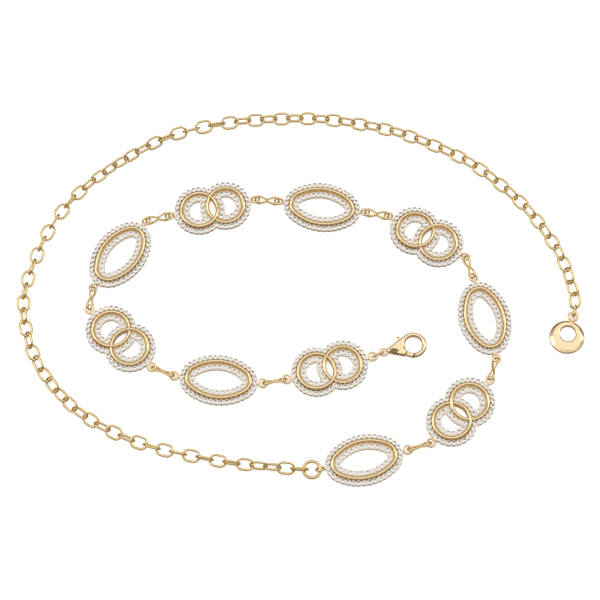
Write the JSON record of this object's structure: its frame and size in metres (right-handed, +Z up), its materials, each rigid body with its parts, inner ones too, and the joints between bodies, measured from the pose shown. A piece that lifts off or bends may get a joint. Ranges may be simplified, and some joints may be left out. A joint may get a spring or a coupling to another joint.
{
  "type": "waist chain",
  "caption": "Waist chain lying open: stone-set oval and crossed-ring plaques on pinched links, a long cable chain ending in a disc pendant, and a spring clasp with a lever.",
  "frame": {"origin": "middle of the layout's footprint, on the surface that the chain lies on", "axes": "+Z up from the surface, +X along the layout's long side, +Y towards the far side of the picture"},
  "size_m": [0.2825, 0.1993, 0.0069],
  "materials": {
    "gold_metal": "polished pale gold plating",
    "clear_stone": "clear cut stone with a foiled back"
  },
  "bodies": {
    "strand": {"clasp_body": "gold_metal", "clasp_link": "gold_metal", "double_plaque_1": "gold_metal", "double_plaque_2": "gold_metal", "double_plaque_3": "gold_metal", "double_plaque_4": "gold_metal", "double_plaque_5": "gold_metal", "oval_plaque_1": "gold_metal", "oval_plaque_2": "gold_metal", "oval_plaque_3": "gold_metal", "oval_plaque_4": "gold_metal", "oval_plaque_5": "gold_metal", "bow_link_1": "gold_metal", "bow_link_2": "gold_metal", "bow_link_3": "gold_metal", "bow_link_4": "gold_metal", "bow_link_5": "gold_metal", "bow_link_6": "gold_metal", "bow_link_7": "gold_metal", "bow_link_8": "gold_metal", "bow_link_9": "gold_metal", "oval_stones_1": "clear_stone", "oval_stones_2": "clear_stone", "oval_stones_3": "clear_stone", "oval_stones_4": "clear_stone", "oval_stones_5": "clear_stone", "jump_ring": "gold_metal", "lower_chain": "gold_metal", "upper_chain": "gold_metal", "pendant_link": "gold_metal", "disc_pendant": "gold_metal"},
    "lever": {"clasp_lever": "gold_metal"}
  },
  "joints": [
    {"name": "lever_hinge", "type": "hinge", "parent": "strand", "child": "lever", "pos_m": [0.04953, -0.02996, 0.00175], "axis": [0, 0, 1], "range_deg": [0, 25], "stiffness_Nm_per_rad": 0.01}
  ]
}
